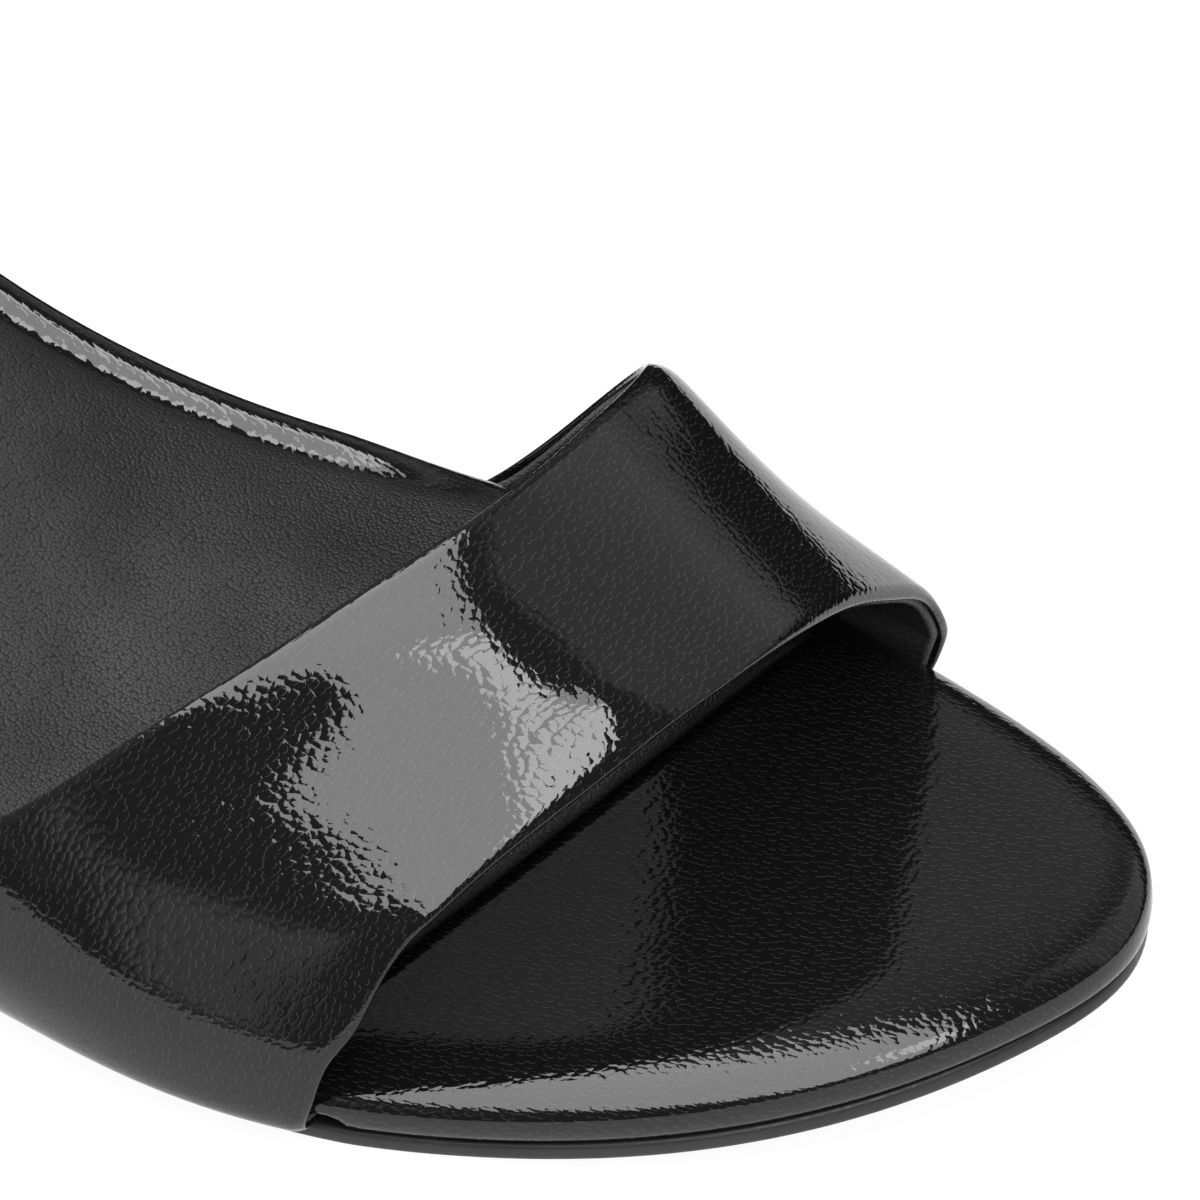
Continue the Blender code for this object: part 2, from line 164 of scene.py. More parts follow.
# Layers of the strap, as shares of its wall, how far its folded edges reach past the edge lines, and how far
# the lining stays back from them
PATENT_SHARE = 0.36
LAYER_GAP = 0.03
LINING_SHARE = 0.80
FOLD_OUT = 0.45
LINING_BACK = 0.05

FEATHER_Z = CLEARANCE + OUTSOLE_THICK

# Patent leather: grain sizes, heights, tones with a painted highlight arc beside each dome, and gloss
PATENT_WARP = (1.6, 0.5)
PATENT_CELL = 0.75
PATENT_RANDOM = 0.85
PATENT_DRAWN = (0.85, 1.2, 1.0)
PATENT_DOME = 0.022
# Painted highlight: the pale arc's radius, half width, the way it faces and where it fades in across the cell
PATENT_HIGHLIGHT_RADIUS = 0.4
PATENT_HIGHLIGHT_HALF = 0.09
PATENT_HIGHLIGHT_WAY = (0.3, -1.0, 0.0)
PATENT_HIGHLIGHT_FROM = (0.12, 0.2)
PATENT_RIPPLE_LENGTH = 0.5
PATENT_RIPPLE = 0.005
PATENT_WAVE_LENGTH = 3.0
PATENT_WAVE = 0.015
# Tones of the patent: its black, and the painted highlight of the arcs
PATENT_TONE_AND_HIGHLIGHT = ((0.005, 0.005, 0.0052), (0.042, 0.042, 0.043))
PATENT_ROUGH = (0.4, 0.6)
COAT_ROUGH = 0.03
COAT_IOR = 1.5

# Matte leather of the sock and the lining, with painted shade in its dents and between its pebbles, and a
# painted shade on the sock towards the medial side
NAPPA_WARP = (2.2, 0.4)
NAPPA_CELL = 0.34
NAPPA_RANDOM = 0.9
NAPPA_DRAWN = (1.0, 0.95, 1.0)
NAPPA_PEBBLE = 0.12
NAPPA_CREASE_LENGTH = 0.7
NAPPA_CREASE = 0.012
NAPPA_DENT_LENGTH = 14.0
NAPPA_DENT = 0.6
# Painted shade: the middle stretch of the noise that follows the dents, and the shade it gives
NAPPA_DENT_FROM = (0.2, 0.8)
NAPPA_DENT_PAINTED_SHADE = (0.4, 1.0)
# Painted shade between the pebbles, from the middle of a cell to its border
NAPPA_PEBBLE_GAP_PAINTED_SHADE = (1.0, 0.4)
# Painted shade on the sock, darker towards the medial side: the range across the foot and the shade at each
# end
NAPPA_SIDE_SHADE_Y = (2.0, 18.0)
NAPPA_SIDE_PAINTED_SHADE = (1.0, 0.3)
NAPPA_ROUGH = (0.38, 0.52)
NAPPA_SPECULAR = 0.33
SOCK_TONE = ((0.004, 0.004, 0.0042), (0.044, 0.044, 0.045))
LINING_TONE = ((0.012, 0.012, 0.0125), (0.11, 0.11, 0.112))

# From the middle of a grain cell to its border, and the middle stretch of a noise
CELL_FROM = (0.2, 0.7)
NOISE_FROM = (0.3, 0.7)

# Sole and rubber: fine texture, its height, length of the patches of tone, tones and roughness
SOLE_DRAWN = (0.25, 1.0, 1.0)
SOLE_FINE = 0.6
SOLE_RELIEF = 0.01
SOLE_PATCH = 6.0
SOLE_TONE = ((0.014, 0.014, 0.014), (0.028, 0.028, 0.028))
SOLE_ROUGH = (0.36, 0.5)
RUBBER_FINE = 0.5
RUBBER_RELIEF = 0.02
RUBBER_PATCH = 5.0
RUBBER_TONE = ((0.013, 0.013, 0.013), (0.024, 0.024, 0.024))
RUBBER_ROUGH = (0.62, 0.78)

# Outline of the insole: half widths to both sides of the last's middle line

Width = namedtuple("Width", "s lateral medial")
WIDTHS = (
    Width(-166.0, 15.5, 15.5),
    Width(-156.0, 23.2, 23.2),
    Width(-140.0, 26.2, 26.0),
    Width(-120.0, 25.8, 24.8),
    Width(-98.0, 25.0, 21.8),
    Width(-76.0, 25.9, 20.2),
    Width(-53.0, 29.3, 20.9),
    Width(-31.0, 35.1, 26.0),
    Width(-15.0, 38.8, 31.2),
    Width(-5.0, 39.9, 33.8),
    Width(5.0, 40.0, 35.4),
    Width(15.0, 38.6, 35.3),
    Width(30.0, 33.8, 32.9),
    Width(45.5, 26.2, 28.4),
    Width(57.0, 17.3, 22.9),
    Width(66.2, 5.4, 14.7),
)

# Side profile: slope of the insole's bottom, level at the tread
Pitch = namedtuple("Pitch", "s degrees")
PITCHES = (
    Pitch(-180.0, 10.0),
    Pitch(-156.0, 13.0),
    Pitch(-138.0, 22.0),
    Pitch(-116.0, 31.0),
    Pitch(-92.0, 33.0),
    Pitch(-68.0, 30.0),
    Pitch(-47.0, 25.0),
    Pitch(-31.0, 18.5),
    Pitch(-17.0, 9.5),
    Pitch(-5.0, 0.0),
    Pitch(15.0, 0.0),
    Pitch(30.0, -4.6),
    Pitch(46.0, -9.4),
    Pitch(75.0, -17.5),
)

# Where the strap's front and back edges meet the insole's edge, how far each runs forward per unit of height,
# and how high the strap stays upright there (no row of its own below the wall's top)
StrapFoot = namedtuple("StrapFoot", "front_s front_lean front_wall back_s back_lean back_wall")
LATERAL_FOOT = StrapFoot(19.5, 0.28, 8.5, -24.0, 0.85, 9.8)
MEDIAL_FOOT = StrapFoot(33.4, 0.34, 0.0, -10.7, 0.90, 0.0)

# Outer face of the strap over the foot, from the lateral side to the medial side, and how far it swells out
# midway between its edges
StrapRow = namedtuple("StrapRow", "front_x front_y front_z back_x back_y back_z swell")
SWELL_WAY = (0.0, -0.8, 0.6)
STRAP = (
    StrapRow(22.9, -37.2, 13.1, -12.2, -39.1, 17.9, 1.6),
    StrapRow(23.6, -35.0, 16.0, -9.0, -37.4, 21.0, 1.1),
    StrapRow(24.6, -31.5, 19.3, -2.2, -30.5, 26.7, 0.4),
    StrapRow(25.7, -29.6, 21.0, 3.7, -22.4, 30.9, 0.1),
    StrapRow(26.6, -27.5, 22.2, 8.5, -14.0, 34.2, 0.3),
    StrapRow(28.4, -23.0, 24.2, 11.6, -7.2, 35.9, 0.7),
    StrapRow(31.0, -16.3, 26.4, 13.3, -2.6, 36.7, 0.7),
    StrapRow(33.4, -8.5, 28.0, 14.2, 2.2, 36.9, 0.4),
    StrapRow(35.4, 3.1, 28.2, 13.9, 8.5, 35.8, 0.2),
    StrapRow(35.2, 13.2, 25.0, 13.2, 14.8, 34.3, 0.0),
    StrapRow(34.7, 20.6, 21.3, 11.9, 21.8, 31.8, 0.0),
    StrapRow(34.6, 27.3, 16.8, 9.6, 29.0, 28.4, 0.0),
    StrapRow(34.5, 31.6, 12.7, 6.0, 33.2, 23.3, 0.0),
    StrapRow(34.6, 33.6, 8.9, 0.3, 36.1, 15.2, 0.0),
)

# How far the strap's edges roll in, and over what width
EDGE_ROLL = 0.25
EDGE_ROLL_WIDTH = 1.0

# Soft swells of the strap: middle across the foot, past the run of the outer foot under and round the edge,
# and as a share from front to back, then radii and height
WALL_RUN = 16.0
Swell = namedtuple("Swell", "across share reach_across reach_share height")
SWELLS = (
    Swell(-2.0, 0.75, 4.5, 0.50, -1.30),
    Swell(47.5, 0.75, 11.0, 0.25, 0.55),
    Swell(54.5, 0.15, 5.0, 0.15, 0.60),
    Swell(23.0, 0.10, 5.0, 0.15, 0.45),
    Swell(55.0, 0.45, 8.0, 0.70, 0.50),
    Swell(44.0, 0.80, 5.0, 0.15, 0.45),
    Swell(30.0, 0.50, 5.0, 0.15, 0.15),
    Swell(26.5, 0.80, 8.5, 0.30, -0.60),
    Swell(62.0, 1.00, 6.0, 0.15, 0.40),
    Swell(90.0, 1.00, 8.0, 0.30, 0.75),
    Swell(89.5, 1.02, 9.0, 0.06, -0.70),
    Swell(98.0, 0.45, 6.0, 0.30, -0.30),
    Swell(108.0, 0.00, 9.0, 0.30, 0.55),
)

# Heel sections from the floor up: share of the height, size against the seat, and shift towards the toe
HeelSection = namedtuple("HeelSection", "share width length forward")
HEEL = (
    HeelSection(0.00, 0.56, 0.52, 0.5),
    HeelSection(0.20, 0.56, 0.52, 0.8),
    HeelSection(0.45, 0.62, 0.58, 1.4),
    HeelSection(0.70, 0.76, 0.72, 1.4),
    HeelSection(0.88, 0.92, 0.90, 0.6),
    HeelSection(1.00, 1.00, 1.00, 0.0),
)

Level = namedtuple("Level", "inset height")


def smooth_table(xs, ys):
    """Cubic curve through a table that never overshoots, so level stretches stay level."""
    xs, ys = np.array(xs, float), np.array(ys, float)
    step = np.diff(xs)
    slope = np.diff(ys) / step
    tangent = np.zeros(len(xs))
    tangent[0], tangent[-1] = slope[0], slope[-1]
    for i in range(1, len(xs) - 1):
        if slope[i - 1] * slope[i] > 0:
            tangent[i] = 2 * slope[i - 1] * slope[i] / (slope[i - 1] + slope[i])

    def value(x):
        x = np.clip(x, xs[0], xs[-1])
        i = np.clip(np.searchsorted(xs, x) - 1, 0, len(step) - 1)
        u = (x - xs[i]) / step[i]
        return hermite(u, ys[i], ys[i + 1], tangent[i] * step[i], tangent[i + 1] * step[i])

    return value


def hermite(u, start, end, start_slope, end_slope):
    """Cubic between two ends with given slopes."""
    return (start * (1 + 2 * u) * (1 - u) ** 2 + start_slope * u * (1 - u) ** 2
            + end * u * u * (3 - 2 * u) + end_slope * u * u * (u - 1))


def spline(points, closed, fine):
    """Dense points on a cubic spline of continuous curvature through the given points."""
    p = np.array(points, float)
    if closed:
        p = np.vstack((p, p[:1]))
    n = len(p)
    step = np.linalg.norm(np.diff(p, axis=0), axis=1)
    rate = np.diff(p, axis=0) / step[:, None]
    left, right = np.zeros((n, n)), np.zeros_like(p)
    for i in range(1, n - 1):
        left[i, i - 1:i + 2] = step[i], 2 * (step[i - 1] + step[i]), step[i - 1]
        right[i] = 3 * (step[i] * rate[i - 1] + step[i - 1] * rate[i])
    if closed:
        left[0, [0, 1, n - 2]] = 2 * (step[-1] + step[0]), step[-1], step[0]
        right[0] = 3 * (step[0] * rate[-1] + step[-1] * rate[0])
        left[-1, [0, n - 1]] = 1, -1
    else:
        left[0, :2], right[0] = (2, 1), 3 * rate[0]
        left[-1, -2:], right[-1] = (1, 2), 3 * rate[-1]
    slopes = np.linalg.solve(left, right)
    u = np.linspace(0, 1, fine, endpoint=False)[:, None]
    parts = [hermite(u, p[i], p[i + 1], slopes[i] * step[i], slopes[i + 1] * step[i]) for i in range(n - 1)]
    return np.vstack(parts + [p[-1:]])


def walked(points):
    """Distance along a line of points."""
    return np.concatenate(([0], np.cumsum(np.linalg.norm(np.diff(points, axis=0), axis=1))))


def resample(points, count):
    """The given number of evenly spaced points along a dense curve."""
    distance = walked(points)
    even = np.linspace(0, distance[-1], count)
    return np.column_stack([np.interp(even, distance, axis) for axis in points.T])


def make_profile():
    """Side profile of the last's bottom: s, then x, z and pitch along it."""
    s = np.arange(*PROFILE_S, PROFILE_STEP)
    pitch = np.radians(smooth_table(*zip(*PITCHES))(s))
    middle = (pitch[1:] + pitch[:-1]) / 2
    x = np.concatenate(([0], np.cumsum(np.cos(middle) * np.diff(s))))
    z = np.concatenate(([0], np.cumsum(-np.sin(middle) * np.diff(s))))
    return s, x - np.interp(0, s, x), z - np.interp(0, s, z) + FEATHER_Z, pitch


PROFILE = make_profile()


def bend(s, y, h):
    """Flat pattern points wrapped round the side profile."""
    x, z, pitch = (np.interp(s, PROFILE[0], column) for column in PROFILE[1:])
    return np.column_stack((x + h * np.sin(pitch), y + 0 * x, z + h * np.cos(pitch)))


def make_outline():
    """Insole outline: lateral side from seat to toe tip, then the medial side back."""
    lateral = [(row.s, -row.lateral) for row in WIDTHS]
    medial = [(row.s, row.medial) for row in WIDTHS]
    ends = [(SEAT_BACK_S, SEAT_BACK_Y)], [(TOE_TIP_S, TOE_TIP_Y)]
    dense = spline(ends[0] + lateral + ends[1] + medial[::-1], True, OUTLINE_STEPS)
    toe = int(np.argmax(dense[:, 0]))
    return dense[:toe + 1], dense[toe:][::-1]


LATERAL_SIDE, MEDIAL_SIDE = make_outline()


def offset_side(side, inset):
    """One side of the outline moved inwards."""
    outward = -1.0 if side is LATERAL_SIDE else 1.0
    along = np.gradient(side, axis=0)
    along[0], along[-1] = (0.0, outward), (0.0, -outward)
    along /= np.linalg.norm(along, axis=1)[:, None]
    normal = np.column_stack((-along[:, 1], along[:, 0])) * outward
    return side - normal * inset


def side_y(side, s, inset):
    """Where one side of the outline, moved inwards, crosses a station."""
    moved = offset_side(side, inset)
    return np.interp(s, moved[:, 0], moved[:, 1])


def depth(flat):
    """Distance of flat points from the insole's outline."""
    outline = np.vstack((LATERAL_SIDE, MEDIAL_SIDE))
    return np.array([np.sqrt(((outline - point) ** 2).sum(axis=1).min()) for point in flat])


def insole_top(flat):
    """Height of the insole's upper face, falling away over the soft shoulder."""
    short = 1 - np.clip(depth(flat) / SHOULDER_WIDTH, 0, 1)
    return EDGE_HEIGHT + (INSOLE_THICK - EDGE_HEIGHT) * np.sqrt(1 - short ** 2)


def pattern_grid(inset, steps, fronts=None, back_s=None):
    """Grid of flat points, rows from back to front and columns from the lateral to the medial side."""
    sides = []
    for i, side in enumerate((LATERAL_SIDE, MEDIAL_SIDE)):
        points = offset_side(side, inset)
        if fronts is not None:
            end = (fronts[i], side_y(side, fronts[i], inset))
            points = np.vstack((points[points[:, 0] < fronts[i]], end))
        if back_s is not None:
            points = np.vstack(((back_s, side_y(side, back_s, inset)), points[points[:, 0] > back_s]))
        sides.append(resample(points, steps + 1))
    share = np.linspace(0, 1, ACROSS_STEPS + 1)[None, :, None]
    return sides[0][:, None] * (1 - share) + sides[1][:, None] * share


def perimeter(grid):
    """Walk round the edge of a grid, back to its first point."""
    return np.concatenate((grid[:, 0], grid[-1, 1:-1], grid[::-1, -1], grid[0, -2::-1]))


def bent(flat, height):
    """Grid or loop of flat points wrapped round the profile at a height, fixed or worked out per point."""
    points = flat.reshape(-1, 2)
    h = height(points) if callable(height) else np.full(len(points), height)
    return bend(points[:, 0], points[:, 1], h).reshape(flat.shape[:-1] + (3,))


class Mesh:
    """Points, faces and surface coordinates of one piece while it is put together."""

    def __init__(self):
        self.points = []
        self.uvs = []
        self.faces = []

    def add(self, points, uvs):
        """Indices of newly added points."""
        first = len(self.points)
        self.points.extend(np.asarray(points).reshape(-1, 3))
        self.uvs.extend(np.asarray(uvs).reshape(-1, 2))
        return np.arange(first, len(self.points))

    def sheet(self, grid, uvs):
        """Quads over a grid of points."""
        rows, columns = grid.shape[:2]
        index = self.add(grid, uvs).reshape(rows, columns)
        for i in range(rows - 1):
            for j in range(columns - 1):
                self.faces.append((index[i, j], index[i + 1, j], index[i + 1, j + 1], index[i, j + 1]))
        return index

    def tube(self, loops, uvs):
        """Quads between closed loops of points, each with its first point again at the end."""
        return self.sheet(np.stack(loops), np.stack(uvs))[:, :-1]

    def finish(self, name, material):
        """Welded, smooth, outward-facing object of this piece, placed in the frame."""
        data = bpy.data.meshes.new(name)
        points = (np.array(self.points) + SHIFT) * MM
        data.from_pydata(points.tolist(), [], [tuple(int(i) for i in face) for face in self.faces])
        layer = data.uv_layers.new(name="surface")
        corner = np.zeros(len(data.loops), int)
        data.loops.foreach_get("vertex_index", corner)
        layer.data.foreach_set("uv", (np.array(self.uvs)[corner] * MM).astype(np.float32).ravel())
        close_mesh(data)
        data.materials.append(material)
        piece = bpy.data.objects.new(name, data)
        bpy.context.scene.collection.objects.link(piece)
        return piece


def close_mesh(data):
    """Merge points that coincide, turn faces outwards and shade them smooth."""
    work = bmesh.new()
    work.from_mesh(data)
    bmesh.ops.remove_doubles(work, verts=work.verts, dist=WELD * MM)
    bmesh.ops.dissolve_degenerate(work, dist=WELD * MM, edges=work.edges)
    bmesh.ops.recalc_face_normals(work, faces=work.faces)
    for face in work.faces:
        face.smooth = True
    work.to_mesh(data)
    work.free()


def belongs(piece, node):
    """A piece hangs under the root body and stands in for a CAD node, which it hides."""
    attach(piece, "root")
    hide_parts(node)


def trimmed(grid, toe_trim, waist_trim):
    """Flat grid drawn back towards the tip of the toe, and in under the strap's outer foot."""
    s, y = grid[..., 0], grid[..., 1]
    toe = np.clip((s - TOE_TRIM_FROM_S) / (TOE_TIP_S - TOE_TRIM_FROM_S), 0, 1)
    start, full = WAIST_TRIM_S
    waist = np.clip((s - start) / (full - start), 0, 1) * np.clip(y / y.min(), 0, 1)
    return np.stack((s - toe_trim * toe ** 2, y + waist_trim * waist), axis=-1)


def make_slab(name, material, levels, fronts=None, back_s=None, toe_trim=0.0, waist_trim=0.0):
    """Closed sheet between a lowest and a highest level, with an edge that runs through the levels.

    fronts are the lateral and medial ends of a front edge that stops short of the toe.
    """
    least = min(level.inset for level in levels)

    def grid_at(inset):
        ends = None if fronts is None else [front - inset + least for front in fronts]
        back = None if back_s is None else back_s + inset - least
        return trimmed(pattern_grid(inset, SIDE_STEPS, ends, back), toe_trim, waist_trim)

    grids = [grid_at(level.inset) for level in levels]
    loops = [bent(perimeter(grid), level.height) for grid, level in zip(grids, levels)]
    steps = [np.linalg.norm(two - one, axis=1).mean() for one, two in zip(loops, loops[1:])]
    unrolled = levels[-1].inset - np.append(np.cumsum(steps[::-1])[::-1], 0.0)
    mesh = Mesh()
    mesh.sheet(bent(grids[0], levels[0].height), grids[0])
    mesh.tube(loops, [perimeter(grid_at(inset)) for inset in unrolled])
    mesh.sheet(bent(grids[-1], levels[-1].height), grids[-1])
    return mesh.finish(name, material)


def strap_cover(flat):
    """How far a flat point lies inside the stretch of edge that the strap's feet pass under."""
    s, y = flat[:, 0], flat[:, 1]
    back = np.where(y < 0, LATERAL_FOOT.back_s, MEDIAL_FOOT.back_s)
    front = np.where(y < 0, LATERAL_FOOT.front_s, MEDIAL_FOOT.front_s)
    beyond = np.maximum(back - REBATE_SPARE - s, s - front - REBATE_SPARE)
    return np.clip(1 - beyond / REBATE_RAMP, 0, 1)


def under_strap(plain, lifted):
    """Height that rises from plain to lifted where the strap's feet pass."""
    return lambda flat: plain + (lifted - plain) * strap_cover(flat)


def rim_rise(flat, inset):
    """How far the wrap's rim stands up at flat points that lie a given way in from the edge."""
    ends = np.where(flat[:, 1:] < 0, RIM_LATERAL_S, RIM_MEDIAL_S)
    fade = np.clip((ends[:, 1] - flat[:, 0]) / (ends[:, 1] - ends[:, 0]), 0, 1)
    away = np.clip((inset - RIM_MIDDLE) / RIM_HALF, -1, 1)
    return RIM_RISE * fade ** 2 * (3 - 2 * fade) * math.cos(math.pi / 2 * away) ** 2


def shoulder(inset, height):
    """Height of the soft shoulder with its raised rim."""
    return lambda flat: height + rim_rise(flat, inset)


def insole_levels():
    """Levels of the insole from its rebated underside over the rounded edge to the flat top."""
    levels = [Level(REBATE_START, 0.0), Level(REBATE_FULL, under_strap(0.0, REBATE))]
    for degrees in range(90, 0, -UNDER_DEGREES):
        inset = UNDER_ROUND * (1 - math.cos(math.radians(degrees)))
        height = EDGE_HEIGHT * (1 - math.sin(math.radians(degrees)))
        lifted = REBATE + REBATE_LIFT * (1 - inset / UNDER_ROUND)
        levels.append(Level(inset, under_strap(height, max(height, lifted))))
    for degrees in range(0, 91, SHOULDER_DEGREES):
        inset = SHOULDER_WIDTH * (1 - math.cos(math.radians(degrees)))
        height = EDGE_HEIGHT + (INSOLE_THICK - EDGE_HEIGHT) * math.sin(math.radians(degrees))
        levels.append(Level(inset, shoulder(inset, height)))
    return levels


def make_insole(material):
    """Wrapped insole with its rounded, glossy edge."""
    piece = make_slab("insole_wrap", material, insole_levels())
    belongs(piece, "insole")


def make_sock(material):
    """Lining pad on top of the insole, ending under the strap."""
    def over(rise):
        return lambda flat: insole_top(flat) + CLEARANCE + rise

    levels = [Level(SHOULDER_WIDTH, over(0.0))]
    levels += [Level(SOCK_INSET + row.inset, over(SOCK_THICK * row.share)) for row in SOCK_EDGE]
    levels.append(Level(SHOULDER_WIDTH, over(SOCK_THICK)))
    piece = make_slab("sock_pad", material, levels, (SOCK_LATERAL_FRONT_S, SOCK_MEDIAL_FRONT_S))
    belongs(piece, "sock")


def make_outsole(material):
    """Thin sole from the toe to the heel breast."""
    top, bottom = -CLEARANCE, -CLEARANCE - OUTSOLE_THICK
    face_inset = OUTSOLE_INSET + OUTSOLE_ROUND + OUTSOLE_FACE_INSET
    rounding = []
    for degrees in OUTSOLE_DEGREES:
        inset = OUTSOLE_INSET + OUTSOLE_ROUND * (1 - math.cos(math.radians(degrees)))
        rounding.append((inset, OUTSOLE_ROUND * (1 - math.sin(math.radians(degrees)))))
    levels = [Level(face_inset, bottom)]
    levels += [Level(inset, bottom + rise) for inset, rise in rounding[::-1]]
    levels += [Level(inset, top - drop) for inset, drop in rounding]
    levels.append(Level(face_inset, top))
    piece = make_slab("sole", material, levels, back_s=BREAST_S + CLEARANCE,
                      toe_trim=TOE_TRIM, waist_trim=WAIST_TRIM)
    belongs(piece, "outsole")


def heel_section(seat, share):
    """Grid of the heel at a share of its height, scaled from the seat grid."""
    shares = [row.share for row in HEEL]
    width, length, forward = (smooth_table(shares, [row[i] for row in HEEL])(share) for i in (1, 2, 3))
    floor = TIP_THICK + FLAT_CLEARANCE
    pivot = seat[0, 0, 0] + HEEL_PIVOT
    section = seat.copy()
    section[..., 0] = pivot + (seat[..., 0] - pivot) * length + forward
    section[..., 1] = seat[..., 1] * width
    section[..., 2] = floor + (seat[..., 2] - floor) * share
    return section


def stacked(name, material, sections, radius):
    """Closed piece through a stack of grids, with its sharp edges rounded."""
    loops = [perimeter(section) for section in sections]
    mesh = Mesh()
    mesh.sheet(sections[0], sections[0][..., :2])
    mesh.tube(loops, [np.column_stack((walked(loop), loop[:, 2])) for loop in loops])
    mesh.sheet(sections[-1], sections[-1][..., :2])
    piece = mesh.finish(name, material)
    bevel = piece.modifiers.new("eased", "BEVEL")
    bevel.width = radius * MM
    bevel.segments = EASE_SEGMENTS
    bevel.limit_method = "ANGLE"
    bevel.angle_limit = math.radians(EASE_DEGREES)
    return piece


def make_heel(cover, rubber):
    """Covered heel and the top piece that it stands on."""
    seat = bent(pattern_grid(HEEL_INSET, HEEL_STEPS, (BREAST_S, BREAST_S)), -CLEARANCE)
    sections = [heel_section(seat, share) for share in np.linspace(0, 1, HEEL_RINGS)]
    piece = stacked("heel_cover", cover, sections, HEEL_ROUND)
    belongs(piece, "heel")
    layers = np.stack((sections[0], sections[0]))
    layers[0, ..., 2] = 0.0
    layers[1, ..., 2] = TIP_THICK
    piece = stacked("heel_top_piece", rubber, layers, TIP_ROUND)
    belongs(piece, "heel_tip")


def foot_points(side, foot, share):
    """Points of the strap's outer face on one foot, with thickness, from under the insole to the wall."""
    rows = (FLANGE[0], FLANGE[1]._replace(inset=MARGIN / 2)) + FLANGE[1:] + (WALL_FOOT, WALL_TOP)
    rise = foot.front_wall + (foot.back_wall - foot.front_wall) * share
    if rise > WALL_TOP.height:
        rows += (Flange(WALL_RISE_INSET, rise, WALL),)
    height = np.array([row.height for row in rows])
    lean = foot.front_lean + (foot.back_lean - foot.front_lean) * share
    s = foot.front_s + (foot.back_s - foot.front_s) * share + lean * height
    y = np.array([side_y(side, one, row.inset) for one, row in zip(s, rows)])
    return np.column_stack((bend(s, y, height), [row.thick for row in rows]))


def strap_line(share):
    """Outer face of the strap across the foot, with thickness, at a share of the way from front to back."""
    table = np.array(STRAP)
    over = table[:, :3] * (1 - share) + table[:, 3:6] * share
    over += table[:, 6:] * 4 * share * (1 - share) * np.array(SWELL_WAY)
    over = np.column_stack((over, np.full(len(over), WALL)))
    lateral = foot_points(LATERAL_SIDE, LATERAL_FOOT, share)
    medial = foot_points(MEDIAL_SIDE, MEDIAL_FOOT, share)
    line = spline(np.vstack((lateral, over, medial[::-1])), False, SPLINE_STEPS)
    return resample(line, STRAP_ROWS)


def unit(vectors):
    """Vectors of length one."""
    return vectors / np.linalg.norm(vectors, axis=-1, keepdims=True)


def face_directions(face):
    """Directions along the columns of a grid, and its outward normals."""
    across, along = np.gradient(face, axis=0), np.gradient(face, axis=1)
    return along, unit(np.cross(across, along))


def strap_shares():
    """Shares of the way from the strap's front to its back edge, crowded towards both edges."""
    even = np.linspace(0, 1, STRAP_COLUMNS)
    return even - STRAP_CROWDING * np.sin(2 * math.pi * even) / (2 * math.pi)


def swollen(face):
    """Outer face of the strap with its soft swells and its edges rolled in."""
    across = walked(face[:, STRAP_COLUMNS // 2])[:, None] - WALL_RUN
    share = strap_shares()[None]
    width = np.linalg.norm(np.diff(face, axis=1), axis=2).sum(axis=1)[:, None]
    from_edge = np.minimum(share, 1 - share) * width
    height = -EDGE_ROLL * np.clip(1 - from_edge / EDGE_ROLL_WIDTH, 0, 1) ** 2
    for swell in SWELLS:
        sideways = (across - swell.across) / swell.reach_across
        lengthways = (share - swell.share) / swell.reach_share
        height = height + swell.height * np.exp(-(sideways ** 2 + lengthways ** 2))
    return face + face_directions(face)[1] * height[..., None]


def strap_layer(name, material, top, bottom, back_off):
    """One layer of the strap between two shares of its wall, its round edges held back from the strap's."""
    lines = np.stack([strap_line(share) for share in strap_shares()], axis=1)
    outer, thick = swollen(lines[..., :3]), lines[..., 3:]
    along, normal = face_directions(outer)
    upper, lower = outer - normal * thick * top, outer - normal * thick * bottom
    radius = thick[:, 0] * (bottom - top) / 2
    loops = []
    for edge, sign in ((-1, 1.0), (0, -1.0)):
        middle = (upper[:, edge] + lower[:, edge]) / 2
        outward = unit(along[:, edge]) * sign
        middle = middle - outward * (back_off + radius)
        loops.append([middle + radius * (normal[:, edge] * math.cos(a) + outward * math.sin(a))
                      for a in np.linspace(0, math.pi, FOLD_STEPS + 1)])
    back_fold, front_fold = loops
    keep = slice(FOLD_COLUMNS, STRAP_COLUMNS - FOLD_COLUMNS)
    rows = []
    for i in range(STRAP_ROWS):
        rows.append(np.vstack((upper[i, keep], [ring[i] for ring in back_fold], lower[i, keep][::-1],
                               [ring[i] for ring in front_fold[::-1]], upper[i, keep][:1])))
    run = walked(outer[:, STRAP_COLUMNS // 2])
    uvs = []
    for row, across_foot in zip(rows, run):
        uvs.append(np.column_stack((np.full(len(row), across_foot), walked(row))))
    mesh = Mesh()
    indices = mesh.tube(rows, uvs)
    mesh.faces.append(tuple(indices[0]))
    mesh.faces.append(tuple(indices[-1]))
    return mesh.finish(name, material)


def make_strap(patent, lining):
    """Patent strap with folded edges, and the lining inside it."""
    piece = strap_layer("strap_patent", patent, 0.0, PATENT_SHARE, -FOLD_OUT)
    belongs(piece, "upper")
    piece = strap_layer("strap_lining", lining, PATENT_SHARE + LAYER_GAP, LINING_SHARE,
                        LINING_BACK - FOLD_OUT)
    belongs(piece, "upper")


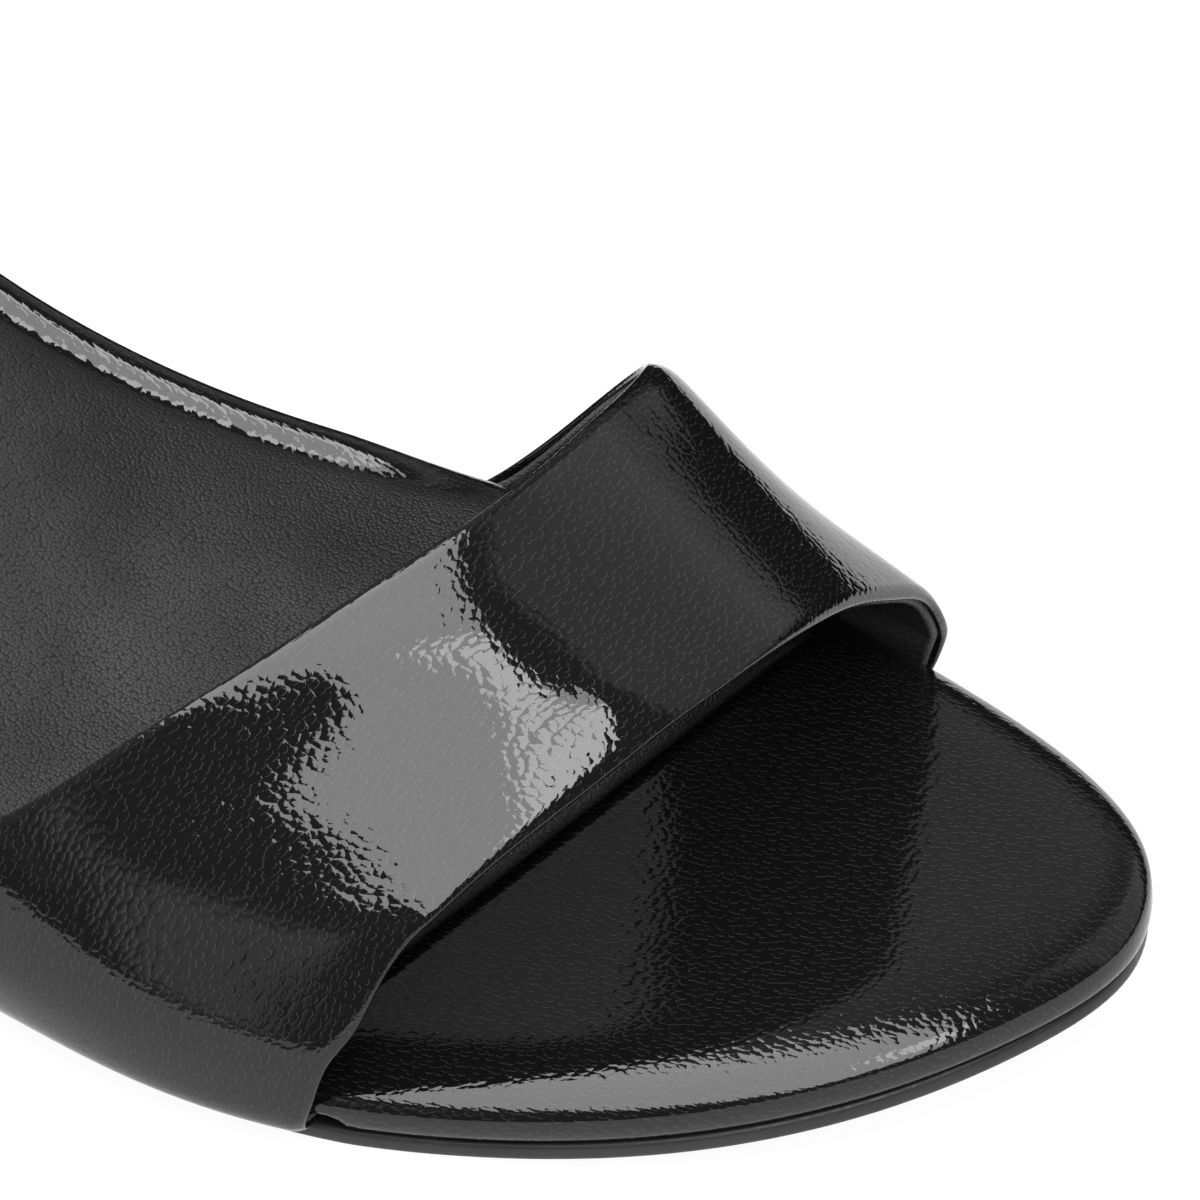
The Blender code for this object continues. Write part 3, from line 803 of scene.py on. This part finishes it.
class Shading:
    """Node tree of one material while it is put together, with surface coordinates in millimetres."""

    def __init__(self, name):
        self.material = bpy.data.materials.new(name)
        self.material.use_nodes = True
        self.tree = self.material.node_tree
        self.shader = self.tree.nodes["Principled BSDF"]
        surface = self.node("ShaderNodeUVMap", uv_map="surface").outputs["UV"]
        self.place = self.vector("MULTIPLY", surface, (1 / MM, 1 / MM, 0.0))

    def node(self, kind, **settings):
        """New node with its settings."""
        made = self.tree.nodes.new(kind)
        for key, value in settings.items():
            setattr(made, key, value)
        return made

    def put(self, socket, value):
        """Link a socket, or set it to a fixed value."""
        if isinstance(value, bpy.types.NodeSocket):
            self.tree.links.new(value, socket)
        else:
            socket.default_value = value

    def vector(self, operation, one, two):
        """Result of a vector operation."""
        made = self.node("ShaderNodeVectorMath", operation=operation)
        self.put(made.inputs[0], one)
        self.put(made.inputs[1], two)
        return made.outputs["Value" if operation == "DOT_PRODUCT" else "Vector"]

    def maths(self, operation, one, two):
        """Result of a sum of numbers."""
        made = self.node("ShaderNodeMath", operation=operation)
        self.put(made.inputs[0], one)
        self.put(made.inputs[1], two)
        return made.outputs["Value"]

    def span(self, value, low, high, to_low, to_high):
        """Value carried smoothly from one range to another."""
        made = self.node("ShaderNodeMapRange", interpolation_type="SMOOTHSTEP")
        for key, amount in zip(("Value", "From Min", "From Max", "To Min", "To Max"),
                               (value, low, high, to_low, to_high)):
            self.put(made.inputs[key], amount)
        return made.outputs["Result"]

    def noise(self, place, size, detail=2.0):
        """Node of a soft noise with features of about the given size in millimetres."""
        made = self.node("ShaderNodeTexNoise", noise_dimensions="2D")
        self.put(made.inputs["Vector"], place)
        self.put(made.inputs["Scale"], 1 / size)
        self.put(made.inputs["Detail"], detail)
        return made

    def cells(self, place, size, randomness):
        """Node of the leather's grain, with cells of about the given size in millimetres."""
        made = self.node("ShaderNodeTexVoronoi", voronoi_dimensions="2D")
        self.put(made.inputs["Vector"], place)
        self.put(made.inputs["Scale"], 1 / size)
        self.put(made.inputs["Randomness"], randomness)
        return made

    def warped(self, size, reach):
        """Surface place pushed about by noise, so that cells and rows wander."""
        push = self.vector("SUBTRACT", self.noise(self.place, size).outputs["Color"], (0.5, 0.5, 0.5))
        return self.vector("ADD", self.place, self.vector("MULTIPLY", push, (reach, reach, 0.0)))

    def relief(self, height, sockets=("Normal",)):
        """Bump from a height in millimetres."""
        made = self.node("ShaderNodeBump")
        made.inputs["Strength"].default_value = 1.0
        made.inputs["Distance"].default_value = MM
        self.put(made.inputs["Height"], height)
        for socket in sockets:
            self.put(self.shader.inputs[socket], made.outputs["Normal"])

    def tone(self, value, dark, light):
        """Base colour that varies between two greys."""
        ramp = self.node("ShaderNodeValToRGB")
        ramp.color_ramp.elements[0].color = (*dark, 1.0)
        ramp.color_ramp.elements[1].color = (*light, 1.0)
        self.put(ramp.inputs["Fac"], value)
        self.put(self.shader.inputs["Base Color"], ramp.outputs["Color"])


def patent_material():
    """Black patent: a clear coat over domes, a ripple and a slow wave, and a painted highlight: a pale arc on
    one side of each dome.
    """
    look = Shading("patent")
    drawn = look.vector("MULTIPLY", look.warped(*PATENT_WARP), PATENT_DRAWN)
    grain = look.cells(drawn, PATENT_CELL, PATENT_RANDOM)
    cell = grain.outputs["Distance"]
    domes = look.maths("MULTIPLY", look.maths("MULTIPLY", cell, cell), -PATENT_DOME)
    fine = look.noise(drawn, PATENT_RIPPLE_LENGTH, detail=1.0)
    ripple = look.maths("MULTIPLY", fine.outputs["Fac"], PATENT_RIPPLE)
    broad = look.noise(look.place, PATENT_WAVE_LENGTH)
    slow = look.maths("MULTIPLY", broad.outputs["Fac"], PATENT_WAVE)
    look.relief(look.maths("ADD", domes, look.maths("ADD", ripple, slow)), ("Normal", "Coat Normal"))
    # Painted highlight: a pale arc on the one side of each dome that would catch the light
    off_ring = look.maths("ABSOLUTE", look.maths("SUBTRACT", cell, PATENT_HIGHLIGHT_RADIUS), 0.0)
    ring = look.span(off_ring, 0.0, PATENT_HIGHLIGHT_HALF, 1.0, 0.0)
    from_middle = look.vector("SUBTRACT", drawn, grain.outputs["Position"])
    side = look.vector("DOT_PRODUCT", from_middle, PATENT_HIGHLIGHT_WAY)
    painted_highlight = look.maths("MULTIPLY", ring, look.span(side, *PATENT_HIGHLIGHT_FROM, 0.0, 1.0))
    look.tone(painted_highlight, *PATENT_TONE_AND_HIGHLIGHT)
    look.put(look.shader.inputs["Roughness"], look.span(cell, *CELL_FROM, *PATENT_ROUGH))
    look.shader.inputs["Specular IOR Level"].default_value = 0.0
    look.shader.inputs["Coat Weight"].default_value = 1.0
    look.shader.inputs["Coat Roughness"].default_value = COAT_ROUGH
    look.shader.inputs["Coat IOR"].default_value = COAT_IOR
    return look.material


def nappa_material(is_sock):
    """Matte black lining leather: fine pebbles, creases and broad dents, with painted shade in the dents,
    between the pebbles and, on the sock, towards the medial side.
    """
    look = Shading("nappa_sock" if is_sock else "nappa_lining")
    place = look.vector("MULTIPLY", look.warped(*NAPPA_WARP), NAPPA_DRAWN)
    cell = look.cells(place, NAPPA_CELL, NAPPA_RANDOM).outputs["Distance"]
    pebble = look.maths("MULTIPLY", look.maths("MULTIPLY", cell, cell), -NAPPA_PEBBLE)
    creases = look.noise(place, NAPPA_CREASE_LENGTH, detail=3.0)
    wrinkle = look.maths("MULTIPLY", creases.outputs["Fac"], NAPPA_CREASE)
    dents = look.noise(look.place, NAPPA_DENT_LENGTH, detail=1.0)
    dent = look.maths("MULTIPLY", dents.outputs["Fac"], NAPPA_DENT)
    look.relief(look.maths("ADD", look.maths("ADD", pebble, wrinkle), dent))
    # Painted shade: darker in the broad dents, from a noise that follows the dent bump
    clouds = look.noise(look.place, NAPPA_DENT_LENGTH)
    shade = look.span(clouds.outputs["Fac"], *NAPPA_DENT_FROM, *NAPPA_DENT_PAINTED_SHADE)
    # Painted shade: darker towards each pebble's border, between the domes
    shade = look.maths("MULTIPLY", shade, look.span(cell, *CELL_FROM, *NAPPA_PEBBLE_GAP_PAINTED_SHADE))
    # Painted shade on the sock: darker towards the medial side, where the strap and the raised rim shade it
    if is_sock:
        across = look.node("ShaderNodeSeparateXYZ")
        look.put(across.inputs[0], look.place)
        side_shade = look.span(across.outputs["Y"], *NAPPA_SIDE_SHADE_Y, *NAPPA_SIDE_PAINTED_SHADE)
        shade = look.maths("MULTIPLY", shade, side_shade)
    look.tone(shade, *(SOCK_TONE if is_sock else LINING_TONE))
    look.put(look.shader.inputs["Roughness"], look.span(cell, *CELL_FROM, *NAPPA_ROUGH))
    look.shader.inputs["Specular IOR Level"].default_value = NAPPA_SPECULAR
    return look.material


def sole_material():
    """Satin black sole with faint scuffs along its edge."""
    look = Shading("sole_edge")
    streaks = look.vector("MULTIPLY", look.place, SOLE_DRAWN)
    fine = look.noise(streaks, SOLE_FINE, detail=4.0).outputs["Fac"]
    look.relief(look.maths("MULTIPLY", fine, SOLE_RELIEF))
    look.tone(look.noise(look.place, SOLE_PATCH).outputs["Fac"], *SOLE_TONE)
    look.put(look.shader.inputs["Roughness"], look.span(fine, *NOISE_FROM, *SOLE_ROUGH))
    return look.material


def rubber_material():
    """Matte black rubber with a fine moulded texture."""
    look = Shading("rubber")
    fine = look.noise(look.place, RUBBER_FINE, detail=3.0).outputs["Fac"]
    look.relief(look.maths("MULTIPLY", fine, RUBBER_RELIEF))
    look.tone(look.noise(look.place, RUBBER_PATCH).outputs["Fac"], *RUBBER_TONE)
    look.put(look.shader.inputs["Roughness"], look.span(fine, *NOISE_FROM, *RUBBER_ROUGH))
    return look.material


def last_shift():
    """Where the centre of the tread lies in the frame, in millimetres."""
    low, high = (np.array(corner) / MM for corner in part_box("insole"))
    loops = []
    for level in insole_levels():
        loops.append(bent(perimeter(pattern_grid(level.inset, PLACING_STEPS)), level.height))
    x, y = np.vstack(loops)[:, :2].T
    return np.array((high[0] - x.max(), (low[1] + high[1] - y.min() - y.max()) / 2, 0.0))


def make_camera():
    """Camera at the photograph's viewing angle, aimed at the middle of the picture."""
    right = Vector((math.cos(AZIMUTH), math.sin(AZIMUTH), 0.0))
    back = Vector((math.sin(AZIMUTH) * math.cos(ELEVATION), -math.cos(AZIMUTH) * math.cos(ELEVATION),
                   math.sin(ELEVATION)))
    up = back.cross(right)
    aim = (right * (PICTURE / 2 - TREAD_PIXEL[0]) + up * (TREAD_PIXEL[1] - PICTURE / 2)) / PIXELS_PER_MM
    data = bpy.data.cameras.new("camera")
    data.sensor_width = SENSOR
    data.lens = data.sensor_width * DISTANCE * PIXELS_PER_MM / PICTURE
    data.clip_start, data.clip_end = CLIP_METRES
    camera = bpy.data.objects.new("camera", data)
    camera.location = (Vector(SHIFT) + back * DISTANCE) * MM
    camera.rotation_euler = (aim - back * DISTANCE).to_track_quat("-Z", "Y").to_euler()
    bpy.context.scene.collection.objects.link(camera)
    bpy.context.scene.camera = camera


# Studio lights above the shoe, in metres, with their turn in degrees: a broad strip and its bright core
Lamp = namedtuple("Lamp", "name x y z length width turn radiance")
LAMPS = (
    Lamp("strip", 0.23, -0.46, 1.5, 4.05, 0.90, -31.5, 5.0),
    Lamp("core", 0.62, -0.30, 1.45, 0.75, 0.20, -31.5, 4.5),
)

# Light of the room by direction: an even dim level, and patches at the back, the side and the left that
# fade in along each named axis from a start to a full direction
ROOM_DIM = 0.13
Fade = namedtuple("Fade", "axis start full")
Patch = namedtuple("Patch", "strength fades")
PATCHES = (
    Patch(0.38, (Fade("Y", 0.25, 0.36), Fade("X", -0.25, -0.1), Fade("Z", 0.03, 0.3))),
    Patch(0.55, (Fade("Y", -0.6, -0.75), Fade("X", -0.33, -0.2), Fade("X", 0.08, -0.04),
                 Fade("Z", -0.02, 0.12))),
    Patch(0.15, (Fade("X", -0.3, -0.45), Fade("Z", 0.2, 0.35))),
)

# Pale floor, half its size in metres, and the dark cards that edge the gloss, which only reflections see
FLOOR_HALF = 3.0
FLOOR_TONE = 0.15
FLOOR_GLOW = 0.94
CARD_TONE = 0.01
Card = namedtuple("Card", "name x0 x1 y0 y1 z0 z1")
CARDS = (
    Card("back_card", -0.4, 0.6, 0.21, 0.21, 0.0, 0.05),
    Card("rim_card", -0.3, 0.02, 0.03, 0.3, 0.0005, 0.0005),
)


def make_lamp(lamp):
    """Rectangular studio light above the shoe, facing down."""
    data = bpy.data.lights.new(lamp.name, "AREA")
    data.shape = "RECTANGLE"
    data.size, data.size_y = lamp.length, lamp.width
    data.energy = lamp.radiance * math.pi * lamp.width * lamp.length
    light = bpy.data.objects.new(lamp.name, data)
    light.location = (lamp.x, lamp.y, lamp.z)
    light.rotation_euler = (0.0, 0.0, math.radians(lamp.turn))
    bpy.context.scene.collection.objects.link(light)


def make_room():
    """Dim studio room with a grey panel at the back and grey walls at the side and the left."""
    world = bpy.data.worlds.new("studio")
    world.use_nodes = True
    tree = world.node_tree
    split = tree.nodes.new("ShaderNodeSeparateXYZ")
    tree.links.new(tree.nodes.new("ShaderNodeTexCoord").outputs["Generated"], split.inputs[0])

    def ramp(fade):
        made = tree.nodes.new("ShaderNodeMapRange")
        made.interpolation_type = "SMOOTHSTEP"
        tree.links.new(split.outputs[fade.axis], made.inputs["Value"])
        made.inputs["From Min"].default_value = min(fade.start, fade.full)
        made.inputs["From Max"].default_value = max(fade.start, fade.full)
        made.inputs["To Min"].default_value = float(fade.start > fade.full)
        made.inputs["To Max"].default_value = float(fade.full > fade.start)
        return made.outputs["Result"]

    def join(operation, one, two):
        made = tree.nodes.new("ShaderNodeMath")
        made.operation = operation
        for socket, value in zip(made.inputs, (one, two)):
            if isinstance(value, float):
                socket.default_value = value
            else:
                tree.links.new(value, socket)
        return made.outputs["Value"]

    def glow(patch):
        made = patch.strength
        for fade in patch.fades:
            made = join("MULTIPLY", made, ramp(fade))
        return made

    total, *others = [glow(patch) for patch in PATCHES]
    for other in others + [ROOM_DIM]:
        total = join("ADD", total, other)
    tree.links.new(total, tree.nodes["Background"].inputs["Strength"])
    tree.nodes["Background"].inputs["Color"].default_value = (1.0, 1.0, 1.0, 1.0)
    bpy.context.scene.world = world


def make_card(card):
    """Black card that only reflections see."""
    corners = [(card.x0, card.y0, card.z0), (card.x1, card.y0, card.z0),
               (card.x1, card.y1, card.z1), (card.x0, card.y1, card.z1)]
    data = bpy.data.meshes.new(card.name)
    data.from_pydata(corners, [], [(0, 1, 2, 3)])
    material = bpy.data.materials.new(card.name)
    material.use_nodes = True
    shader = material.node_tree.nodes["Principled BSDF"]
    shader.inputs["Base Color"].default_value = (CARD_TONE, CARD_TONE, CARD_TONE, 1.0)
    shader.inputs["Specular IOR Level"].default_value = 0.0
    data.materials.append(material)
    piece = bpy.data.objects.new(card.name, data)
    piece.visible_camera = piece.visible_diffuse = piece.visible_shadow = False
    bpy.context.scene.collection.objects.link(piece)


def make_floor():
    """Plain pale floor that is just white in the light."""
    data = bpy.data.meshes.new("floor")
    corners = [(x * FLOOR_HALF, y * FLOOR_HALF, 0.0) for x, y in ((-1, -1), (1, -1), (1, 1), (-1, 1))]
    data.from_pydata(corners, [], [(0, 1, 2, 3)])
    material = bpy.data.materials.new("floor")
    material.use_nodes = True
    shader = material.node_tree.nodes["Principled BSDF"]
    shader.inputs["Base Color"].default_value = (FLOOR_TONE, FLOOR_TONE, FLOOR_TONE, 1.0)
    shader.inputs["Roughness"].default_value = 1.0
    shader.inputs["Specular IOR Level"].default_value = 0.0
    shader.inputs["Emission Color"].default_value = (1.0, 1.0, 1.0, 1.0)
    shader.inputs["Emission Strength"].default_value = FLOOR_GLOW
    data.materials.append(material)
    floor = bpy.data.objects.new("floor", data)
    bpy.context.scene.collection.objects.link(floor)


SHIFT = last_shift()
PATENT = patent_material()
make_insole(PATENT)
make_sock(nappa_material(True))
make_outsole(sole_material())
make_heel(PATENT, rubber_material())
make_strap(PATENT, nappa_material(False))
make_camera()
make_floor()
make_room()
for card in CARDS:
    make_card(card)
for lamp in LAMPS:
    make_lamp(lamp)
bpy.context.scene.view_settings.view_transform = "Standard"
